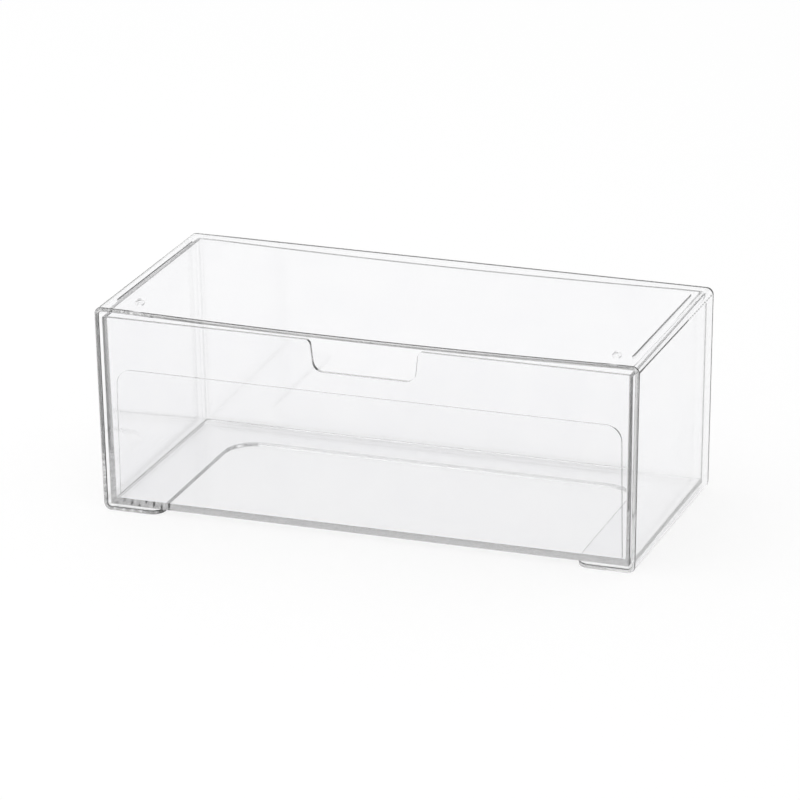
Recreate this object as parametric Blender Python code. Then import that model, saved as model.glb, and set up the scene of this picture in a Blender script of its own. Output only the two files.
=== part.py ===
"""Desk drawer unit: a clear moulded casing, open at the front, with one clear drawer that slides out.

Lengths are metres. +Z is up, the open front faces -Y, and the origin is on the desk,
under the middle of the casing.
"""
import math

import bmesh
import bpy

# Casing
WIDTH = 0.222
DEPTH = 0.0984
HEIGHT = 0.0837
WALL = 0.0018
TOP_THICKNESS = 0.0018
FLANGE_THICKNESS = 0.0017
OUTER_RADIUS = 0.0030
INNER_RADIUS = 0.0012
BACK_RADIUS = 0.0020

# Both mouldings lean in by these amounts for each metre of height and of depth
SIDE_LEAN = 0.0215
SIDE_DRAFT = 0.0113

# The free front edge of the top panel dips in the middle, less and less towards the back
TOP_DIP = 0.00125
DIP_END_MARGIN = 0.011
DIP_FADE = 1.5
DIP_STEPS = 10
DIP_DEPTHS = (0.1, 0.25, 0.45, 0.7)

# Floor of the casing: two side strips and a rear strip, open in the middle and at the front
SIDE_STRIP = 0.0257
REAR_STRIP = 0.0190
REAR_CORNER_RADIUS = 0.0120
FOOT_CORNER_RADIUS = 0.0055

# Stacking ribs on the top panel
RIB_HEIGHT = 0.0007
RIB_WIDTH = 0.0006
RIB_INSET = 0.0058
RIB_FRONT_MARGIN = 0.0098
RIB_BACK_MARGIN = 0.0138

# Drawer stops under the top panel: small blocks with a ramp in front
STOP_WIDTH = 0.0028
STOP_LENGTH = 0.0046
STOP_DROP = 0.0019
STOP_RAMP = 0.0013
STOP_INSET = 0.0136
STOP_FRONT_MARGIN = 0.0138

# Drawer
SIDE_GAP = 0.0010
HEAD_GAP = 0.0023
BACK_GAP = 0.0005
FRONT_RECESS = 0.0007
DRAWER_WALL = 0.0016
DRAWER_FLOOR = 0.0020
DRAWER_TAPER = 0.0009
FRONT_DRAFT = 0.020
RIM_RISE = 0.0011
BACK_RIM_DIP = 0.0010
BACK_RIM_DIP_MARGIN = 0.015
DRAWER_RADIUS = 0.0010
CAVITY_RADIUS = 0.0003
REAR_FLOOR_RADIUS = 0.0015

# Runner ribs under the drawer's side walls, which slide on the casing's side strips
RUNNER_HEIGHT = 0.0005
RUNNER_WIDTH = 0.0015
RUNNER_MARGIN = 0.006

# Finger notch in the drawer front
NOTCH_HALF_TOP = 0.0220
NOTCH_HALF_BOTTOM = 0.0206
NOTCH_DEPTH = 0.0126
NOTCH_FILLET = 0.0040
NOTCH_FLARE = 0.0026

# Thicker lower zone on the inner face of the drawer front
PAD_THICKNESS = 0.0010
PAD_SIDE_MARGIN = 0.0033
PAD_TOP_DROP = 0.0213
PAD_RADIUS = 0.0062

# Air between surfaces that rest on each other, and how far a cutter or a joined rib runs past a face
REST_GAP = 0.0003
OVERCUT = 0.0050
SINK = 0.0004

# Facets of the rounded edges and outlines
OUTER_SEGMENTS = 5
SMALL_SEGMENTS = 3
ARC_SEGMENTS = 8
RIM_DIP_STEPS = 12

# An edge counts as sharp from this many degrees, and two positions as one within this distance
SHARP_ANGLE = 35
TOLERANCE = 1e-6

# Levels and planes that several features share
FRONT = -DEPTH / 2
BACK = DEPTH / 2
TOP_UNDERSIDE = HEIGHT - TOP_THICKNESS
DRAWER_BOTTOM = FLANGE_THICKNESS + REST_GAP + RUNNER_HEIGHT
DRAWER_TOP = TOP_UNDERSIDE - HEAD_GAP
DRAWER_FRONT = FRONT + FRONT_RECESS
DRAWER_BACK = BACK - WALL - BACK_GAP
DRAWER_INSET = WALL + SIDE_GAP
CAVITY_FLOOR = DRAWER_BOTTOM + DRAWER_FLOOR
CAVITY_FRONT = DRAWER_FRONT + DRAWER_WALL
CAVITY_BACK = DRAWER_BACK - DRAWER_WALL


def clear_scene():
    """Remove the objects of the open scene."""
    for item in list(bpy.data.objects):
        bpy.data.objects.remove(item, do_unlink=True)


def make_collection(name):
    """Add a collection to the scene."""
    collection = bpy.data.collections.new(name)
    bpy.context.scene.collection.children.link(collection)
    return collection


def clear_polystyrene(name, tint):
    """Clear moulded polystyrene: glossy, colourless, with IOR 1.59."""
    material = bpy.data.materials.new(name)
    material.use_nodes = True
    shader = material.node_tree.nodes["Principled BSDF"]
    shader.inputs["Base Color"].default_value = (*tint, 1.0)
    shader.inputs["Metallic"].default_value = 0.0
    shader.inputs["Roughness"].default_value = 0.03
    shader.inputs["IOR"].default_value = 1.59
    shader.inputs["Transmission Weight"].default_value = 0.9
    material.diffuse_color = (*tint, 0.4)
    return material


def half_width(y, z):
    """Half the casing's outer width at a depth and a height."""
    return WIDTH / 2 - SIDE_LEAN * (HEIGHT - z) - SIDE_DRAFT * (y - FRONT)


def top_dip(x, y):
    """How far the top panel has sunk at a point."""
    across = max(0.0, 1.0 - (x / (WIDTH / 2 - DIP_END_MARGIN)) ** 2)
    along = min(1.0, max(0.0, (BACK - y) / DEPTH))
    return TOP_DIP * across * along ** DIP_FADE


def leaning_block(inset, y_range, z_range, taper=0.0):
    """A closed block inset from the casing's leaning sides, and by a taper more at the back."""
    bm = bmesh.new()
    bmesh.ops.create_cube(bm, size=2.0)
    for vert in bm.verts:
        side, back, top = vert.co
        y = y_range[1] if back > 0 else y_range[0]
        z = z_range[1] if top > 0 else z_range[0]
        half = half_width(y, z) - inset - taper * (y - FRONT) / DEPTH
        vert.co = (math.copysign(half, side), y, z)
    return bm


def edges_along(bm, axis, where=None):
    """The edges that run mostly along one axis, and pass a test of their middle point."""
    found = []
    for edge in bm.edges:
        run = edge.verts[1].co - edge.verts[0].co
        middle = (edge.verts[0].co + edge.verts[1].co) / 2
        if abs(run[axis]) > 0.9 * run.length and (where is None or where(middle)):
            found.append(edge)
    return found


def round_edges(bm, edges, radius, segments):
    """Round a set of edges."""
    bmesh.ops.bevel(bm, geom=edges, offset=radius, offset_type="OFFSET", segments=segments,
                    profile=0.5, affect="EDGES", clamp_overlap=True, material=-1)


def split_at(bm, axis, value):
    """Cut every face on a plane, keeping both sides."""
    point = [0.0, 0.0, 0.0]
    normal = [0.0, 0.0, 0.0]
    point[axis] = value
    normal[axis] = 1.0
    bmesh.ops.bisect_plane(bm, geom=bm.verts[:] + bm.edges[:] + bm.faces[:],
                           plane_co=point, plane_no=normal)


def dip_top_face(bm, level):
    """Give the face at one level the dip of the top panel."""
    half = WIDTH / 2 - DIP_END_MARGIN
    for step in range(DIP_STEPS + 1):
        split_at(bm, 0, half * (2 * step / DIP_STEPS - 1))
    for share in DIP_DEPTHS:
        split_at(bm, 1, FRONT + share * DEPTH)
    for vert in bm.verts:
        if vert.co.z > level - TOLERANCE:
            vert.co.z -= top_dip(vert.co.x, vert.co.y)


def object_from(bm, name, collection):
    """Turn a bmesh into an object of a collection."""
    bmesh.ops.recalc_face_normals(bm, faces=bm.faces)
    mesh = bpy.data.meshes.new(name)
    bm.to_mesh(mesh)
    bm.free()
    item = bpy.data.objects.new(name, mesh)
    collection.objects.link(item)
    return item


def cutter_from(bm, name):
    """Turn a bmesh into a helper that only modifiers use."""
    item = object_from(bm, name, cutters)
    item.hide_render = True
    item.display_type = "WIRE"
    return item


def arc_points(center, radius, start, end):
    """Points along an arc, with its angles in degrees."""
    points = []
    for step in range(ARC_SEGMENTS + 1):
        angle = math.radians(start + (end - start) * step / ARC_SEGMENTS)
        points.append((center[0] + radius * math.cos(angle), center[1] + radius * math.sin(angle)))
    return points


def plate(name, outline, upright, low, high):
    """A helper with a flat outline: lying in XY, or upright in XZ, between two levels or planes."""
    curve = bpy.data.curves.new(name, "CURVE")
    curve.dimensions = "2D"
    curve.fill_mode = "BOTH"
    curve.extrude = (high - low) / 2
    spline = curve.splines.new("POLY")
    spline.points.add(len(outline) - 1)
    for point, (u, v) in zip(spline.points, outline):
        point.co = (u, v, 0.0, 1.0)
    spline.use_cyclic_u = True
    drawn = bpy.data.objects.new(name + "_outline", curve)
    cutters.objects.link(drawn)
    middle = (low + high) / 2
    if upright:
        drawn.location = (0.0, middle, 0.0)
        drawn.rotation_euler = (math.radians(90), 0.0, 0.0)
    else:
        drawn.location = (0.0, 0.0, middle)
    bpy.context.view_layer.update()
    graph = bpy.context.evaluated_depsgraph_get()
    mesh = bpy.data.meshes.new_from_object(drawn.evaluated_get(graph))
    mesh.transform(drawn.matrix_world)
    bpy.data.objects.remove(drawn, do_unlink=True)
    bm = bmesh.new()
    bm.from_mesh(mesh)
    bpy.data.meshes.remove(mesh)
    bmesh.ops.remove_doubles(bm, verts=bm.verts, dist=TOLERANCE)
    return cutter_from(bm, name)


def boolean(item, helper, operation):
    """Cut a helper out of an object, or join it on."""
    modifier = item.modifiers.new(helper.name, "BOOLEAN")
    modifier.operation = operation
    modifier.solver = "EXACT"
    modifier.object = helper


def finish(item, material):
    """Give an object its material and smooth shading with crisp edges."""
    item.data.materials.append(material)
    item.data.shade_smooth()
    item.data.set_sharp_from_angle(angle=math.radians(SHARP_ANGLE))


def stacking_rib(side):
    """One low rib on the top panel, parallel to the side wall."""
    bm = bmesh.new()
    bmesh.ops.create_cube(bm, size=2.0)
    for vert in bm.verts:
        y = BACK - RIB_BACK_MARGIN if vert.co.y > 0 else FRONT + RIB_FRONT_MARGIN
        z = HEIGHT + RIB_HEIGHT if vert.co.z > 0 else HEIGHT - SINK
        middle = half_width(y, HEIGHT) - RIB_INSET
        vert.co = (side * middle + math.copysign(RIB_WIDTH / 2, vert.co.x), y, z)
    return cutter_from(bm, "stacking_rib_" + ("left" if side < 0 else "right"))


def drawer_stop(side):
    """One small block that hangs from the top panel near its front corner."""
    bm = bmesh.new()
    bmesh.ops.create_cube(bm, size=2.0)
    low = TOP_UNDERSIDE - STOP_DROP
    middle = FRONT + STOP_FRONT_MARGIN
    for vert in bm.verts:
        x = side * (WIDTH / 2 - STOP_INSET) + math.copysign(STOP_WIDTH / 2, vert.co.x)
        y = middle + math.copysign(STOP_LENGTH / 2, vert.co.y)
        vert.co = (x, y, TOP_UNDERSIDE + SINK if vert.co.z > 0 else low)
    ramp = edges_along(bm, 0, lambda place: place.y < middle and place.z < low + TOLERANCE)
    round_edges(bm, ramp, STOP_RAMP, 1)
    return cutter_from(bm, "drawer_stop_" + ("left" if side < 0 else "right"))


def floor_opening():
    """The U-shaped opening in the casing's floor, with rounded feet at its mouth."""
    rear = BACK - REAR_STRIP
    half = WIDTH / 2 - SIDE_STRIP
    rear_half = half - SIDE_DRAFT * (rear - FRONT)
    corner = REAR_CORNER_RADIUS
    foot = FOOT_CORNER_RADIUS
    right = [(half + foot, FRONT - OVERCUT)]
    right += arc_points((half + foot, FRONT + foot), foot, 270, 180)
    right += arc_points((rear_half - corner, rear - corner), corner, 0, 90)
    left = [(-x, y) for x, y in reversed(right)]
    return plate("floor_opening", right + left, False, -OVERCUT, FLANGE_THICKNESS + REST_GAP)


def make_casing(material):
    """The casing: sleeve, back, floor strips, stacking ribs and drawer stops in one moulding."""
    outer = leaning_block(0.0, (FRONT, BACK), (0.0, HEIGHT))
    round_edges(outer, edges_along(outer, 1), OUTER_RADIUS, OUTER_SEGMENTS)
    rim = [edge for edge in outer.edges if all(vert.co.y > BACK - TOLERANCE for vert in edge.verts)]
    round_edges(outer, rim, BACK_RADIUS, SMALL_SEGMENTS)
    dip_top_face(outer, HEIGHT)
    casing = object_from(outer, "casing", parts)

    inner = leaning_block(WALL, (FRONT - OVERCUT, BACK - WALL), (FLANGE_THICKNESS, TOP_UNDERSIDE))
    round_edges(inner, edges_along(inner, 1), INNER_RADIUS, SMALL_SEGMENTS)
    dip_top_face(inner, TOP_UNDERSIDE)
    boolean(casing, cutter_from(inner, "drawer_bay"), "DIFFERENCE")
    boolean(casing, floor_opening(), "DIFFERENCE")
    for side in (-1, 1):
        boolean(casing, stacking_rib(side), "UNION")
        boolean(casing, drawer_stop(side), "UNION")
    finish(casing, material)
    return casing


def drawer_shell():
    """The drawer's outer form, with a rim that rises to the back."""
    span = (DRAWER_FRONT, DRAWER_BACK)
    bm = leaning_block(DRAWER_INSET, span, (DRAWER_BOTTOM, DRAWER_TOP), DRAWER_TAPER)
    for vert in bm.verts:
        if vert.co.z > DRAWER_TOP - TOLERANCE:
            vert.co.z += RIM_RISE * (vert.co.y - DRAWER_FRONT) / (DRAWER_BACK - DRAWER_FRONT)
    at_back = edges_along(bm, 2, lambda middle: middle.y > DRAWER_BACK - TOLERANCE)
    round_edges(bm, at_back, DRAWER_RADIUS, SMALL_SEGMENTS)
    return bm


def lean_front(verts):
    """Move what lies at the front panel's inner face back, more so lower down."""
    for vert in verts:
        if vert.co.y < 0.0:
            vert.co.y += FRONT_DRAFT * (DRAWER_TOP - vert.co.z)


def drawer_cavity():
    """The space inside the drawer, rounded at its floor and upright corners."""
    span = (CAVITY_FRONT, CAVITY_BACK)
    inset = DRAWER_INSET + DRAWER_WALL
    bm = leaning_block(inset, span, (CAVITY_FLOOR, HEIGHT + OVERCUT), DRAWER_TAPER)
    lean_front(bm.verts)
    rear = edges_along(bm, 0, lambda middle: middle.y > 0 and middle.z < HEIGHT)
    round_edges(bm, rear, REAR_FLOOR_RADIUS, OUTER_SEGMENTS)
    rest = []
    for edge in bm.edges:
        low = min(vert.co.z for vert in edge.verts)
        if low < HEIGHT and edge.calc_face_angle() > math.radians(SHARP_ANGLE):
            rest.append(edge)
    round_edges(bm, rest, CAVITY_RADIUS, SMALL_SEGMENTS)
    return cutter_from(bm, "drawer_cavity")


def finger_notch():
    """The opening in the middle of the drawer front's top edge."""
    low = DRAWER_TOP - NOTCH_DEPTH
    wall_top = NOTCH_HALF_TOP
    foot = NOTCH_HALF_BOTTOM
    flare = NOTCH_FLARE
    fillet = NOTCH_FILLET
    lean = math.degrees(math.atan2(wall_top - foot, NOTCH_DEPTH))
    right = arc_points((foot - fillet, low + fillet), fillet, -90, -lean)
    right += arc_points((wall_top + flare, DRAWER_TOP - flare), flare, 180 - lean, 90)
    right.append((wall_top + flare, DRAWER_TOP + OVERCUT))
    left = [(-x, z) for x, z in reversed(right)]
    return plate("finger_notch", right + left, True, DRAWER_FRONT - OVERCUT, CAVITY_FRONT + OVERCUT)


def front_pad():
    """The thicker lower zone of the drawer front, on its inner face."""
    half = half_width(CAVITY_FRONT, DRAWER_TOP) - DRAWER_INSET - DRAWER_WALL - PAD_SIDE_MARGIN
    top = DRAWER_TOP - PAD_TOP_DROP
    low = CAVITY_FLOOR - SINK
    right = [(half, low)]
    right += arc_points((half - PAD_RADIUS, top - PAD_RADIUS), PAD_RADIUS, 0, 90)
    left = [(-x, z) for x, z in reversed(right)]
    pad = plate("front_pad", right + left, True, CAVITY_FRONT - SINK, CAVITY_FRONT + PAD_THICKNESS)
    lean_front(pad.data.vertices)
    return pad


def back_rim_dip():
    """A shallow dip in the middle of the back wall's top edge."""
    level = DRAWER_TOP + RIM_RISE
    half = WIDTH / 2 - BACK_RIM_DIP_MARGIN
    outline = [(half, level + OVERCUT)]
    for step in range(RIM_DIP_STEPS + 1):
        x = half * (1 - 2 * step / RIM_DIP_STEPS)
        outline.append((x, level - BACK_RIM_DIP * (1 - (x / half) ** 2)))
    outline.append((-half, level + OVERCUT))
    return plate("back_rim_dip", outline, True, CAVITY_BACK - SINK, DRAWER_BACK + OVERCUT)


def drawer_runner(side):
    """One low rib under the drawer."""
    bm = bmesh.new()
    bmesh.ops.create_cube(bm, size=2.0)
    for vert in bm.verts:
        y = DRAWER_BACK - RUNNER_MARGIN if vert.co.y > 0 else DRAWER_FRONT + RUNNER_MARGIN
        z = DRAWER_BOTTOM + SINK if vert.co.z > 0 else DRAWER_BOTTOM - RUNNER_HEIGHT
        outer = half_width(y, z) - DRAWER_INSET - DRAWER_TAPER * (y - FRONT) / DEPTH - REST_GAP
        x = side * (outer - RUNNER_WIDTH / 2) + math.copysign(RUNNER_WIDTH / 2, vert.co.x)
        vert.co = (x, y, z)
    return cutter_from(bm, "drawer_runner_" + ("left" if side < 0 else "right"))


def make_drawer(material):
    """The drawer: an open tub with a finger notch in its front."""
    drawer = object_from(drawer_shell(), "drawer", parts)
    boolean(drawer, drawer_cavity(), "DIFFERENCE")
    boolean(drawer, finger_notch(), "DIFFERENCE")
    boolean(drawer, back_rim_dip(), "DIFFERENCE")
    boolean(drawer, front_pad(), "UNION")
    for side in (-1, 1):
        boolean(drawer, drawer_runner(side), "UNION")
    finish(drawer, material)
    return drawer


clear_scene()
parts = make_collection("desk_drawer_unit")
cutters = make_collection("cutters")
make_casing(clear_polystyrene("casing_polystyrene", (0.93, 0.94, 0.94)))
make_drawer(clear_polystyrene("drawer_polystyrene", (0.95, 0.95, 0.95)))
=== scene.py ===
"""Looks of the desk drawer unit: a clear casing and a clear drawer on a white studio table."""
import math

import bmesh
import bpy
from mathutils import Euler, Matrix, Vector


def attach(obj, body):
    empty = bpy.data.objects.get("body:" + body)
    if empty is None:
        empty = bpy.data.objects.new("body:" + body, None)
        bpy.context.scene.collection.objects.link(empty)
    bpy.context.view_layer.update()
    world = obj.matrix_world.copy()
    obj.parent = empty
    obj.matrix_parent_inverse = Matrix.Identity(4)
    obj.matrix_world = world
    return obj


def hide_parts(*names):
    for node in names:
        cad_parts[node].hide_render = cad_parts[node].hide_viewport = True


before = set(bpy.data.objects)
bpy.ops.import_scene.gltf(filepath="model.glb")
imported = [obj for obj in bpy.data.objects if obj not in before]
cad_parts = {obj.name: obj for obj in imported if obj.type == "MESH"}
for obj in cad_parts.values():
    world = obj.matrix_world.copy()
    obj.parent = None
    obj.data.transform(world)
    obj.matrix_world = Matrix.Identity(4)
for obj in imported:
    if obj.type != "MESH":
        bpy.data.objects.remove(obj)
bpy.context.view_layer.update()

# The casing's lengths, in metres, as in the CAD model
WIDTH = 0.222
DEPTH = 0.0984
HEIGHT = 0.0837
WALL = 0.0018
TOP_THICKNESS = 0.0018
FLANGE_THICKNESS = 0.0017
OUTER_RADIUS = 0.0030
INNER_RADIUS = 0.0012
BACK_RADIUS = 0.0020
SIDE_LEAN = 0.0215
SIDE_DRAFT = 0.0113
TOP_DIP = 0.00125
DIP_END_MARGIN = 0.011
DIP_FADE = 1.5

# Floor of the casing
SIDE_STRIP = 0.0257
REAR_STRIP = 0.0190
REAR_CORNER_RADIUS = 0.0120
FOOT_CORNER_RADIUS = 0.0055

# Ribs and stops of the top panel
RIB_HEIGHT = 0.0007
RIB_WIDTH = 0.0006
RIB_INSET = 0.0058
RIB_FRONT_MARGIN = 0.0098
RIB_BACK_MARGIN = 0.0138
STOP_WIDTH = 0.0028
STOP_LENGTH = 0.0046
STOP_DROP = 0.0019
STOP_RAMP = 0.0013
STOP_PIT = 0.0006
STOP_INSET = 0.0136
STOP_FRONT_MARGIN = 0.0138

# The drawer
SIDE_GAP = 0.0010
HEAD_GAP = 0.0023
BACK_GAP = 0.0005
FRONT_RECESS = 0.0007
DRAWER_WALL = 0.0016
DRAWER_FLOOR = 0.0020
DRAWER_TAPER = 0.0009
FRONT_DRAFT = 0.020
RIM_RISE = 0.0011
BACK_RIM_DIP = 0.0010
BACK_RIM_DIP_MARGIN = 0.015
DRAWER_RADIUS = 0.0010
CAVITY_RADIUS = 0.0003
REAR_FLOOR_RADIUS = 0.0012
RUNNER_HEIGHT = 0.0005
RUNNER_WIDTH = 0.0015
RUNNER_MARGIN = 0.006
NOTCH_HALF_TOP = 0.0220
NOTCH_HALF_BOTTOM = 0.0206
NOTCH_DEPTH = 0.0126
NOTCH_FILLET = 0.0040
NOTCH_FLARE = 0.0026
NOTCH_LIFT = 0.0002
PAD_THICKNESS = 0.0010
PAD_SIDE_MARGIN = 0.0033
PAD_TOP_DROP = 0.0213
PAD_RADIUS = 0.0062
REST_GAP = 0.0003

# How much of the table's white comes from the lamps and keeps the shadow
SHADOW_SHARE = 0.25

# The drawer's plastic takes more light than the casing's, so its edges look darker
CASING_DENSITY = 4.0
DRAWER_DENSITY = 15.0

# Height of the flow waves that the melt leaves in the flat faces
FLOW_HEIGHT = 0.00002

# Radii of the small mould roundings that the CAD model leaves sharp
CASING_EDGE = 0.00040
DRAWER_EDGE = 0.00020
PAD_EDGE = 0.00015
SMALL_EDGE = 0.00020

# Share of a rib's width that the rounding takes on each side of its crest
RIB_CREST_SHARE = 0.45

# How far a cutter runs past a face, how far a joined form sinks in, and what counts as one place
OVERCUT = 0.0050
SINK = 0.0004
TOLERANCE = 1e-6

# An edge counts as sharp from this many degrees, and as running along an axis from this share
SHARP_ANGLE = 40
ALONG_SHARE = 0.9

# Facets of the outlines' corners and of the roundings, and steps of the dips from middle to end
ARC_FACETS = 16
OUTER_FACETS = 10
FLOOR_FACETS = 8
CORNER_FACETS = 6
RIM_FACETS = 5
EDGE_FACETS = 4
SMALL_FACETS = 3
PAD_FACETS = 2
DIP_STEPS = 12

# The white table: half its width, and how far its top lies below the feet
TABLE_HALF = 4.0
TABLE_DROP = 0.0003

# Levels and planes that several features share
FRONT = -DEPTH / 2
BACK = DEPTH / 2
TOP_UNDERSIDE = HEIGHT - TOP_THICKNESS
DRAWER_BOTTOM = FLANGE_THICKNESS + REST_GAP + RUNNER_HEIGHT
DRAWER_TOP = TOP_UNDERSIDE - HEAD_GAP
DRAWER_FRONT = FRONT + FRONT_RECESS
DRAWER_BACK = BACK - WALL - BACK_GAP
DRAWER_INSET = WALL + SIDE_GAP
CAVITY_FLOOR = DRAWER_BOTTOM + DRAWER_FLOOR
CAVITY_FRONT = DRAWER_FRONT + DRAWER_WALL
CAVITY_BACK = DRAWER_BACK - DRAWER_WALL


def half_width(y, z):
    """Half the casing's outer width at a depth and a height."""
    return WIDTH / 2 - SIDE_LEAN * (HEIGHT - z) - SIDE_DRAFT * (y - FRONT)


def top_dip(x, y):
    """How far the top panel has sunk at a point."""
    across = max(0.0, 1.0 - (x / (WIDTH / 2 - DIP_END_MARGIN)) ** 2)
    along = min(1.0, max(0.0, (BACK - y) / DEPTH))
    return TOP_DIP * across * along ** DIP_FADE


def leaning_block(inset, y_range, z_range, taper=0.0):
    """A closed block inset from the casing's leaning sides, and by a taper more at the back."""
    bm = bmesh.new()
    bmesh.ops.create_cube(bm, size=2.0)
    for vert in bm.verts:
        side, back, top = vert.co
        y = y_range[1] if back > 0 else y_range[0]
        z = z_range[1] if top > 0 else z_range[0]
        half = half_width(y, z) - inset - taper * (y - FRONT) / DEPTH
        vert.co = (math.copysign(half, side), y, z)
    return bm


def edges_along(bm, axis, where=None):
    """The edges that run mostly along one axis, and pass a test of their middle point."""
    found = []
    for edge in bm.edges:
        run = edge.verts[1].co - edge.verts[0].co
        middle = (edge.verts[0].co + edge.verts[1].co) / 2
        if abs(run[axis]) > ALONG_SHARE * run.length and (where is None or where(middle)):
            found.append(edge)
    return found


def sharp_edges(bm, where=None):
    """The sharp edges that pass a test of their middle point."""
    found = []
    for edge in bm.edges:
        middle = (edge.verts[0].co + edge.verts[1].co) / 2
        if edge.calc_face_angle(0.0) > math.radians(SHARP_ANGLE) and (where is None or where(middle)):
            found.append(edge)
    return found


def round_edges(bm, edges, radius, segments):
    """Round a set of edges."""
    bmesh.ops.bevel(bm, geom=edges, offset=radius, offset_type="OFFSET", segments=segments,
                    profile=0.5, affect="EDGES", clamp_overlap=False, material=-1)


def split_at(bm, axis, value):
    """Cut every face on a plane, keeping both sides."""
    point = [0.0, 0.0, 0.0]
    normal = [0.0, 0.0, 0.0]
    point[axis] = value
    normal[axis] = 1.0
    bmesh.ops.bisect_plane(bm, geom=bm.verts[:] + bm.edges[:] + bm.faces[:],
                           plane_co=point, plane_no=normal)


def split_across(bm, half):
    """Cut every face at even steps across the width, so that it can dip."""
    for step in range(2 * DIP_STEPS + 1):
        split_at(bm, 0, half * (step / DIP_STEPS - 1))


def dip_top_face(bm, level):
    """Give the face at one level the dip of the top panel."""
    split_across(bm, WIDTH / 2 - DIP_END_MARGIN)
    for step in range(1, DIP_STEPS):
        split_at(bm, 1, FRONT + DEPTH * step / DIP_STEPS)
    for vert in bm.verts:
        if vert.co.z > level - TOLERANCE:
            vert.co.z -= top_dip(vert.co.x, vert.co.y)


def prism(corners, upright, low, high):
    """A closed block from flat corner points with a radius each, lying in XY or upright in XZ."""
    bm = bmesh.new()
    verts = [bm.verts.new((u, low, v) if upright else (u, v, low)) for u, v, radius in corners]
    face = bm.faces.new(verts)
    swept = bmesh.ops.extrude_face_region(bm, geom=[face])["geom"]
    far = [item for item in swept if isinstance(item, bmesh.types.BMVert)]
    step = (0.0, high - low, 0.0) if upright else (0.0, 0.0, high - low)
    bmesh.ops.translate(bm, verts=far, vec=step)
    bmesh.ops.recalc_face_normals(bm, faces=bm.faces)
    across = 1 if upright else 2
    for u, v, radius in corners:
        if radius == 0.0:
            continue
        place = Vector((u, 0.0, v)) if upright else Vector((u, v, 0.0))
        for edge in edges_along(bm, across):
            offset = edge.verts[0].co - place
            offset[across] = 0.0
            if offset.length < TOLERANCE:
                turn = edge.calc_face_angle()
                round_edges(bm, [edge], radius * math.tan(turn / 2), ARC_FACETS)
                break
    return bm


def temporary_object(bm, name):
    """An object that only carries a form to a boolean."""
    bmesh.ops.recalc_face_normals(bm, faces=bm.faces)
    mesh = bpy.data.meshes.new(name)
    bm.to_mesh(mesh)
    bm.free()
    item = bpy.data.objects.new(name, mesh)
    bpy.context.scene.collection.objects.link(item)
    return item


def combine(solid, tools):
    """Cut forms out of a solid or join them on, in order. Each tool is a form and an operation."""
    item = temporary_object(solid, "solid")
    helpers = []
    for bm, operation in tools:
        helper = temporary_object(bm, "tool")
        modifier = item.modifiers.new("tool", "BOOLEAN")
        modifier.operation = operation
        modifier.solver = "EXACT"
        modifier.object = helper
        helpers.append(helper)
    graph = bpy.context.evaluated_depsgraph_get()
    result = bmesh.new()
    result.from_object(item, graph)
    for used in [item] + helpers:
        mesh = used.data
        bpy.data.objects.remove(used, do_unlink=True)
        bpy.data.meshes.remove(mesh)
    bmesh.ops.remove_doubles(result, verts=result.verts, dist=TOLERANCE)
    bmesh.ops.dissolve_degenerate(result, edges=result.edges, dist=TOLERANCE)
    return result


def make_piece(bm, name, body, material):
    """Turn a finished form into a shown piece with soft roundings and true flat faces."""
    bmesh.ops.recalc_face_normals(bm, faces=bm.faces)
    for face in bm.faces:
        face.smooth = True
    mesh = bpy.data.meshes.new(name)
    bm.to_mesh(mesh)
    bm.free()
    mesh.set_sharp_from_angle(angle=math.radians(SHARP_ANGLE))
    mesh.materials.append(material)
    piece = bpy.data.objects.new(name, mesh)
    bpy.context.scene.collection.objects.link(piece)
    shade = piece.modifiers.new("flat_faces", "WEIGHTED_NORMAL")
    shade.mode = "FACE_AREA"
    shade.weight = 100
    shade.keep_sharp = True
    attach(piece, body)
    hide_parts(body)
    return piece


def stacking_rib(side):
    """One low rib with a rounded crest on the top panel, parallel to the side wall."""
    bm = bmesh.new()
    bmesh.ops.create_cube(bm, size=2.0)
    for vert in bm.verts:
        y = BACK - RIB_BACK_MARGIN if vert.co.y > 0 else FRONT + RIB_FRONT_MARGIN
        z = HEIGHT + RIB_HEIGHT if vert.co.z > 0 else HEIGHT - SINK
        middle = half_width(y, HEIGHT) - RIB_INSET
        vert.co = (side * middle + math.copysign(RIB_WIDTH / 2, vert.co.x), y, z)
    crest = [edge for edge in bm.edges if all(vert.co.z > HEIGHT + TOLERANCE for vert in edge.verts)]
    round_edges(bm, crest, RIB_WIDTH * RIB_CREST_SHARE, EDGE_FACETS)
    return bm


def drawer_stop(side):
    """One small block that hangs from the top panel near its front corner, with a ramp in front."""
    low = TOP_UNDERSIDE - STOP_DROP
    bm = bmesh.new()
    bmesh.ops.create_cube(bm, size=2.0)
    for vert in bm.verts:
        x = side * (WIDTH / 2 - STOP_INSET) + math.copysign(STOP_WIDTH / 2, vert.co.x)
        y = FRONT + STOP_FRONT_MARGIN + math.copysign(STOP_LENGTH / 2, vert.co.y)
        vert.co = (x, y, TOP_UNDERSIDE + SINK if vert.co.z > 0 else low)
    foot = [edge for edge in bm.edges if all(vert.co.z < low + TOLERANCE for vert in edge.verts)]
    ramp = [edge for edge in foot if all(vert.co.y < FRONT + STOP_FRONT_MARGIN for vert in edge.verts)]
    round_edges(bm, ramp, STOP_RAMP, 1)
    rest = sharp_edges(bm, lambda middle: middle.z < TOP_UNDERSIDE)
    round_edges(bm, rest, SMALL_EDGE, SMALL_FACETS)
    flat = max((face for face in bm.faces if face.normal.z < -0.99), key=lambda face: face.calc_area())
    bmesh.ops.poke(bm, faces=[flat], offset=-STOP_PIT)
    return bm


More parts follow.
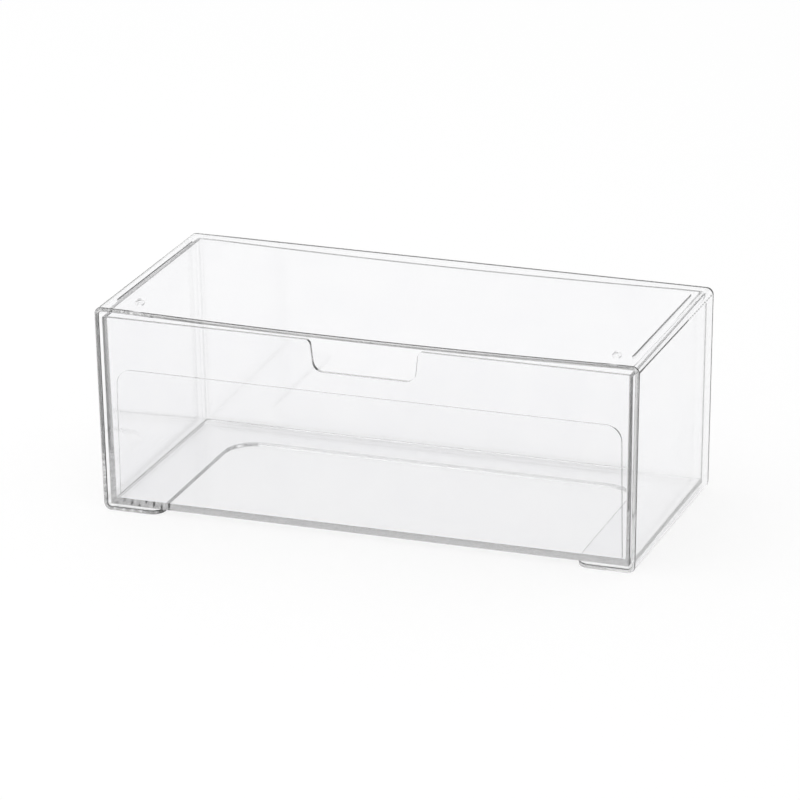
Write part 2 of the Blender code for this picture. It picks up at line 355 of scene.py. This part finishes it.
def floor_opening():
    """The U-shaped opening in the casing's floor, with rounded feet at its mouth."""
    rear = BACK - REAR_STRIP
    half = WIDTH / 2 - SIDE_STRIP
    rear_half = half - SIDE_DRAFT * (rear - FRONT)
    foot = FOOT_CORNER_RADIUS
    reach = half + foot * math.tan(math.pi / 4 - math.atan(SIDE_DRAFT) / 2)
    right = [
        (reach, FRONT - OVERCUT, 0.0),
        (reach, FRONT, 0.0),
        (half, FRONT, foot),
        (rear_half, rear, REAR_CORNER_RADIUS),
    ]
    left = [(-x, y, radius) for x, y, radius in reversed(right)]
    return prism(right + left, False, -OVERCUT, FLANGE_THICKNESS + REST_GAP)


def make_casing(material):
    """The casing: sleeve, back, floor strips, stacking ribs and drawer stops in one moulding."""
    outer = leaning_block(0.0, (FRONT, BACK), (0.0, HEIGHT))
    round_edges(outer, edges_along(outer, 1), OUTER_RADIUS, OUTER_FACETS)
    rim = [edge for edge in outer.edges if all(vert.co.y > BACK - TOLERANCE for vert in edge.verts)]
    round_edges(outer, rim, BACK_RADIUS, RIM_FACETS)
    dip_top_face(outer, HEIGHT)
    bay = leaning_block(WALL, (FRONT - OVERCUT, BACK - WALL), (FLANGE_THICKNESS, TOP_UNDERSIDE))
    round_edges(bay, edges_along(bay, 1), INNER_RADIUS, CORNER_FACETS)
    dip_top_face(bay, TOP_UNDERSIDE)
    casing = combine(outer, [(bay, "DIFFERENCE"), (floor_opening(), "DIFFERENCE")])
    low = FLANGE_THICKNESS + TOLERANCE
    free = sharp_edges(casing, lambda middle: middle.y < FRONT + TOLERANCE or middle.z < low)
    round_edges(casing, free, CASING_EDGE, EDGE_FACETS)
    joined = []
    for side in (-1, 1):
        joined.append((stacking_rib(side), "UNION"))
        joined.append((drawer_stop(side), "UNION"))
    return make_piece(combine(casing, joined), "clear_casing", "casing", material)


def drawer_shell():
    """The drawer's outer form, with a rim that rises to the back."""
    span = (DRAWER_FRONT, DRAWER_BACK)
    bm = leaning_block(DRAWER_INSET, span, (DRAWER_BOTTOM, DRAWER_TOP), DRAWER_TAPER)
    for vert in bm.verts:
        if vert.co.z > DRAWER_TOP - TOLERANCE:
            vert.co.z += RIM_RISE * (vert.co.y - DRAWER_FRONT) / (DRAWER_BACK - DRAWER_FRONT)
    at_back = edges_along(bm, 2, lambda middle: middle.y > DRAWER_BACK - TOLERANCE)
    round_edges(bm, at_back, DRAWER_RADIUS, CORNER_FACETS)
    return bm


def lean_front(bm):
    """Move what lies at the front panel's inner face back, more so lower down."""
    for vert in bm.verts:
        if vert.co.y < 0.0:
            vert.co.y += FRONT_DRAFT * (DRAWER_TOP - vert.co.z)


def drawer_cavity():
    """The space inside the drawer, rounded at its floor and upright corners."""
    span = (CAVITY_FRONT, CAVITY_BACK)
    inset = DRAWER_INSET + DRAWER_WALL
    bm = leaning_block(inset, span, (CAVITY_FLOOR, HEIGHT + OVERCUT), DRAWER_TAPER)
    lean_front(bm)
    low = [edge for edge in bm.edges if all(vert.co.z < CAVITY_FLOOR + TOLERANCE for vert in edge.verts)]
    rear = [edge for edge in low if all(vert.co.y > 0.0 for vert in edge.verts)]
    round_edges(bm, rear, REAR_FLOOR_RADIUS, FLOOR_FACETS)
    rest = sharp_edges(bm, lambda middle: middle.z < HEIGHT)
    round_edges(bm, rest, CAVITY_RADIUS, RIM_FACETS)
    return bm


def finger_notch():
    """The opening in the middle of the drawer front's top edge."""
    low = DRAWER_TOP - NOTCH_DEPTH
    flare = NOTCH_HALF_TOP + NOTCH_FLARE
    # The flares end just above the rim, so that they meet it at an angle and round off cleanly
    top = DRAWER_TOP + NOTCH_LIFT
    right = [
        (NOTCH_HALF_BOTTOM, low, NOTCH_FILLET),
        (NOTCH_HALF_TOP, top, NOTCH_FLARE),
        (flare, top, 0.0),
        (flare, DRAWER_TOP + OVERCUT, 0.0),
    ]
    left = [(-x, z, radius) for x, z, radius in reversed(right)]
    return prism(right + left, True, DRAWER_FRONT - OVERCUT, CAVITY_FRONT + OVERCUT)


def front_pad():
    """The thicker lower zone of the drawer front, on its inner face."""
    half = half_width(CAVITY_FRONT, DRAWER_TOP) - DRAWER_INSET - DRAWER_WALL - PAD_SIDE_MARGIN
    top = DRAWER_TOP - PAD_TOP_DROP
    low = CAVITY_FLOOR - SINK
    corners = [(half, low, 0.0), (half, top, PAD_RADIUS), (-half, top, PAD_RADIUS), (-half, low, 0.0)]
    bm = prism(corners, True, CAVITY_FRONT - SINK, CAVITY_FRONT + PAD_THICKNESS)
    step = sharp_edges(bm, lambda middle: middle.y > CAVITY_FRONT and middle.z > low + TOLERANCE)
    round_edges(bm, step, PAD_EDGE, PAD_FACETS)
    lean_front(bm)
    return bm


def drawer_runner(side):
    """One low rib under the drawer."""
    bm = bmesh.new()
    bmesh.ops.create_cube(bm, size=2.0)
    for vert in bm.verts:
        y = DRAWER_BACK - RUNNER_MARGIN if vert.co.y > 0 else DRAWER_FRONT + RUNNER_MARGIN
        z = DRAWER_BOTTOM + SINK if vert.co.z > 0 else DRAWER_BOTTOM - RUNNER_HEIGHT
        outer = half_width(y, z) - DRAWER_INSET - DRAWER_TAPER * (y - FRONT) / DEPTH - REST_GAP
        x = side * (outer - RUNNER_WIDTH / 2) + math.copysign(RUNNER_WIDTH / 2, vert.co.x)
        vert.co = (x, y, z)
    foot = [edge for edge in bm.edges if all(vert.co.z < DRAWER_BOTTOM - TOLERANCE for vert in edge.verts)]
    round_edges(bm, foot, SMALL_EDGE, SMALL_FACETS)
    return bm


def dip_back_rim(bm):
    """Lower the middle of the back wall's top edge."""
    half = WIDTH / 2 - BACK_RIM_DIP_MARGIN
    split_across(bm, half)
    for vert in bm.verts:
        if vert.co.z > DRAWER_TOP + RIM_RISE / 2 and vert.co.y > CAVITY_BACK - TOLERANCE:
            vert.co.z -= BACK_RIM_DIP * max(0.0, 1 - (vert.co.x / half) ** 2)


def make_drawer(material):
    """The drawer: an open tub with a finger notch in its front."""
    tub = combine(drawer_shell(), [(drawer_cavity(), "DIFFERENCE"), (finger_notch(), "DIFFERENCE")])
    round_edges(tub, sharp_edges(tub), DRAWER_EDGE, SMALL_FACETS)
    dip_back_rim(tub)
    joined = [(front_pad(), "UNION"), (drawer_runner(-1), "UNION"), (drawer_runner(1), "UNION")]
    return make_piece(combine(tub, joined), "clear_drawer", "drawer", material)


def linear(hex_colour):
    """Turn an sRGB hex colour into linear values."""
    values = []
    for start in (0, 2, 4):
        value = int(hex_colour[start:start + 2], 16) / 255
        values.append(value / 12.92 if value <= 0.04045 else ((value + 0.055) / 1.055) ** 2.4)
    return (*values, 1.0)


def add_node(tree, kind, settings=None, values=None, links=None):
    """Add a node with its settings, socket values and incoming links."""
    node = tree.nodes.new(kind)
    for key, value in (settings or {}).items():
        setattr(node, key, value)
    for socket, value in (values or {}).items():
        node.inputs[socket].default_value = value
    for socket, source in (links or {}).items():
        tree.links.new(source, node.inputs[socket])
    return node


def clear_polystyrene(name, colour, tint, density):
    """Clear polystyrene, injection moulded in polished steel: sharp gloss and dark, crisp edges.

    Slow flow waves bend what shows through it, and it carries the fine hairlines and the haze
    of handling. The density is how much light a long way through the plastic takes.
    """
    material = bpy.data.materials.new(name)
    material.use_nodes = True
    tree = material.node_tree
    tree.nodes.clear()
    place = add_node(tree, "ShaderNodeTexCoord").outputs["Object"]

    # Flow of the melt: waves about 40 mm long and a few microns high
    flow = add_node(tree, "ShaderNodeTexNoise", {}, {"Scale": 25.0, "Detail": 1.0, "Roughness": 0.4},
                    {"Vector": place}).outputs["Fac"]
    waves = add_node(tree, "ShaderNodeBump", {}, {"Strength": 1.0, "Distance": FLOW_HEIGHT},
                     {"Height": flow}).outputs["Normal"]

    # Hairlines of handling, 0.02 mm wide on the real one and drawn 0.2 mm wide so that they show
    turned = add_node(tree, "ShaderNodeMapping", {},
                      {"Rotation": (0.3, 0.5, 0.7), "Scale": (18.0, 320.0, 40.0)},
                      {"Vector": place}).outputs["Vector"]
    lines = add_node(tree, "ShaderNodeTexNoise", {}, {"Scale": 8.0, "Detail": 2.0, "Roughness": 0.6},
                     {"Vector": turned}).outputs["Fac"]
    hairlines = add_node(tree, "ShaderNodeMapRange", {},
                         {"From Min": 0.70, "From Max": 0.78, "To Min": 0.0, "To Max": 0.10},
                         {"Value": lines}).outputs["Result"]

    # Haze of finger marks: soft patches of 15 to 30 mm
    patches = add_node(tree, "ShaderNodeTexNoise", {}, {"Scale": 45.0, "Detail": 3.0, "Roughness": 0.55},
                       {"Vector": place}).outputs["Fac"]
    haze = add_node(tree, "ShaderNodeMapRange", {},
                    {"From Min": 0.35, "From Max": 0.75, "To Min": 0.022, "To Max": 0.040},
                    {"Value": patches}).outputs["Result"]
    roughness = add_node(tree, "ShaderNodeMath", {"operation": "MAXIMUM"}, {},
                         {0: haze, 1: hairlines}).outputs["Value"]

    # A very slight unevenness of the tint, deeper where the patches are
    cloudy = add_node(tree, "ShaderNodeMix", {"data_type": "RGBA"}, {"A": linear(colour), "B": linear(tint)},
                      {"Factor": patches}).outputs["Result"]
    shader = add_node(tree, "ShaderNodeBsdfPrincipled", {},
                      {"Metallic": 0.0, "IOR": 1.59, "Transmission Weight": 1.0},
                      {"Base Color": cloudy, "Roughness": roughness, "Normal": waves})

    # Lamplight passes through to the table, a little weaker at each surface
    shade = add_node(tree, "ShaderNodeBsdfTransparent", {}, {"Color": linear("F6F6F6")})
    is_shadow = add_node(tree, "ShaderNodeLightPath").outputs["Is Shadow Ray"]
    surface = add_node(tree, "ShaderNodeMixShader", {}, {},
                       {0: is_shadow, 1: shader.outputs["BSDF"], 2: shade.outputs["BSDF"]})
    inside = add_node(tree, "ShaderNodeVolumeAbsorption", {}, {"Color": linear("CBCBCB"), "Density": density})
    add_node(tree, "ShaderNodeOutputMaterial", {}, {},
             {"Surface": surface.outputs["Shader"], "Volume": inside.outputs["Volume"]})
    return material


def white_table():
    """A matt white table top, white to the eye, that keeps a soft shadow under the unit."""
    bm = bmesh.new()
    bmesh.ops.create_grid(bm, x_segments=1, y_segments=1, size=TABLE_HALF)
    bmesh.ops.translate(bm, verts=bm.verts, vec=(0.0, 0.0, -TABLE_DROP))
    mesh = bpy.data.meshes.new("white_table")
    bm.to_mesh(mesh)
    bm.free()
    table = bpy.data.objects.new("white_table", mesh)
    bpy.context.scene.collection.objects.link(table)
    material = bpy.data.materials.new("white_laminate")
    material.use_nodes = True
    tree = material.node_tree
    tree.nodes.clear()
    matt = add_node(tree, "ShaderNodeBsdfDiffuse", values={"Color": linear("FFFFFF")})
    glow = add_node(tree, "ShaderNodeEmission", values={"Color": linear("FFFFFF"), "Strength": 1.0})
    path = add_node(tree, "ShaderNodeLightPath").outputs
    seen = add_node(tree, "ShaderNodeMath", {"operation": "MAXIMUM"},
                    links={0: path["Is Camera Ray"], 1: path["Is Glossy Ray"]})
    seen = add_node(tree, "ShaderNodeMath", {"operation": "MAXIMUM"},
                    links={0: seen.outputs[0], 1: path["Is Transmission Ray"]})
    share = add_node(tree, "ShaderNodeMath", {"operation": "MULTIPLY"}, {1: 1.0 - SHADOW_SHARE},
                     {0: seen.outputs[0]})
    both = add_node(tree, "ShaderNodeMixShader",
                    links={0: share.outputs[0], 1: matt.outputs[0], 2: glow.outputs[0]})
    add_node(tree, "ShaderNodeOutputMaterial", links={"Surface": both.outputs[0]})
    mesh.materials.append(material)


def studio_lamp():
    """One broad soft lamp above and to the left of the unit."""
    data = bpy.data.lights.new("soft_lamp", "AREA")
    data.shape = "SQUARE"
    data.size = 1.2
    data.energy = 6.0
    lamp = bpy.data.objects.new("soft_lamp", data)
    lamp.location = (-0.6, -0.4, 1.4)
    lamp.rotation_euler = Vector((0.6, 0.4, -1.4)).to_track_quat("-Z", "Y").to_euler()
    bpy.context.scene.collection.objects.link(lamp)


def studio_world():
    """A pale studio: white down to the table and round the horizon, softer grey overhead."""
    world = bpy.data.worlds.new("pale_studio")
    bpy.context.scene.world = world
    world.use_nodes = True
    tree = world.node_tree
    tree.nodes.clear()
    direction = add_node(tree, "ShaderNodeTexCoord").outputs["Generated"]
    height = add_node(tree, "ShaderNodeSeparateXYZ", links={0: direction}).outputs["Z"]
    share = add_node(tree, "ShaderNodeMapRange", values={"From Min": 0.36, "From Max": 0.60},
                     links={"Value": height}).outputs["Result"]
    dome = add_node(tree, "ShaderNodeMix", {"data_type": "RGBA"},
                    {"A": (1.0, 1.0, 1.0, 1.0), "B": (0.8, 0.8, 0.8, 1.0)}, {"Factor": share})
    seen = add_node(tree, "ShaderNodeLightPath").outputs["Is Camera Ray"]
    shown = add_node(tree, "ShaderNodeMix", {"data_type": "RGBA"}, {"B": (1.0, 1.0, 1.0, 1.0)},
                     {"Factor": seen, "A": dome.outputs["Result"]})
    light = add_node(tree, "ShaderNodeBackground", links={"Color": shown.outputs["Result"]})
    add_node(tree, "ShaderNodeOutputWorld", links={"Surface": light.outputs[0]})


def photo_camera():
    """The camera, from the right, a little above the unit and far away."""
    data = bpy.data.cameras.new("camera")
    data.sensor_width = 36.0
    data.lens = 270.0
    data.clip_start = 0.1
    data.clip_end = 30.0
    camera = bpy.data.objects.new("camera", data)
    camera.location = (0.7642368, -2.0660017, 0.8406228)
    camera.rotation_euler = Euler([math.radians(angle) for angle in (70.0486, 0.6559, 20.1431)])
    bpy.context.scene.collection.objects.link(camera)
    bpy.context.scene.camera = camera


scene = bpy.context.scene
scene.view_settings.view_transform = "Standard"
scene.cycles.use_denoising = True
scene.cycles.max_bounces = 32
scene.cycles.transmission_bounces = 32
scene.cycles.glossy_bounces = 24
photo_camera()
studio_world()
studio_lamp()
white_table()
make_casing(clear_polystyrene("casing_clear_polystyrene", "FFFFFF", "FCFCFD", CASING_DENSITY))
make_drawer(clear_polystyrene("drawer_clear_polystyrene", "FFFFFF", "FCFCFD", DRAWER_DENSITY))
